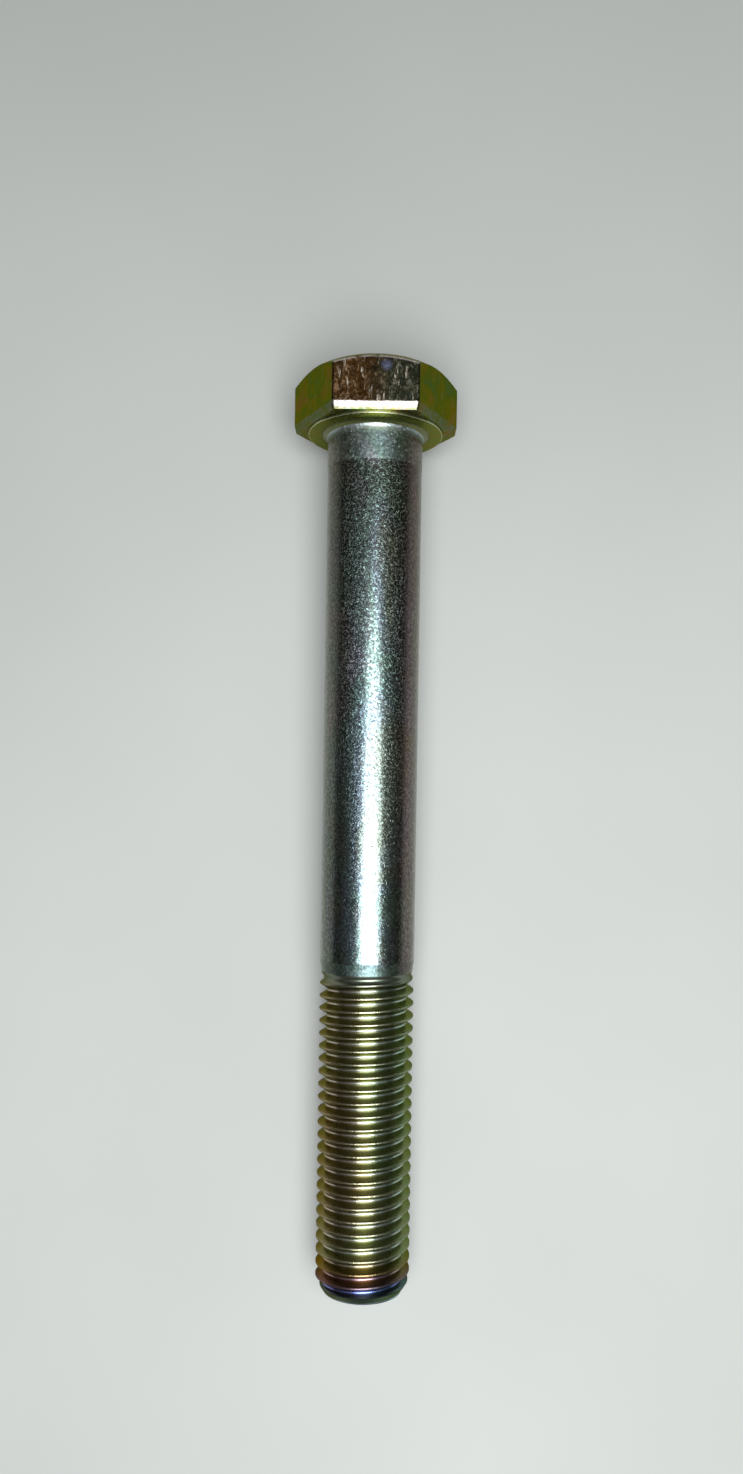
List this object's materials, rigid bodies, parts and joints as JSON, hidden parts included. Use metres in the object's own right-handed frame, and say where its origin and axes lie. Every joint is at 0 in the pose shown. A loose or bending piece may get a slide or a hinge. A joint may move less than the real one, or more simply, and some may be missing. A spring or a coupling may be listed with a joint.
{
  "type": "hex bolt",
  "caption": "Long partly threaded hex bolt with a chamfered hexagon head, a washer face, a plain shank and a coarse right-hand thread, zinc plated with a yellow chromate.",
  "frame": {"origin": "on the bolt's axis, in the plane of the bearing face under the head", "axes": "+Y along the bolt's axis towards the top of the head, +Z out of one wrench flat, which faces up as the bolt lies, +X across two corners of the hexagon"},
  "size_m": [0.0326, 0.1831, 0.0286],
  "materials": {
    "olive_chromate": "zinc plating under an olive-yellow iridescent chromate, satin, lightly scuffed",
    "bright_zinc": "bluish bright zinc over a drawn bar, glossy with a fine grain",
    "gold_chromate": "zinc plating under a golden-olive iridescent chromate, glossy, turning purple at the point"
  },
  "bodies": {
    "root": {"hex_head": "olive_chromate", "washer_face": "olive_chromate", "shank": "bright_zinc", "thread_shoulder": "bright_zinc", "thread": "gold_chromate", "point": "gold_chromate"}
  },
  "joints": []
}
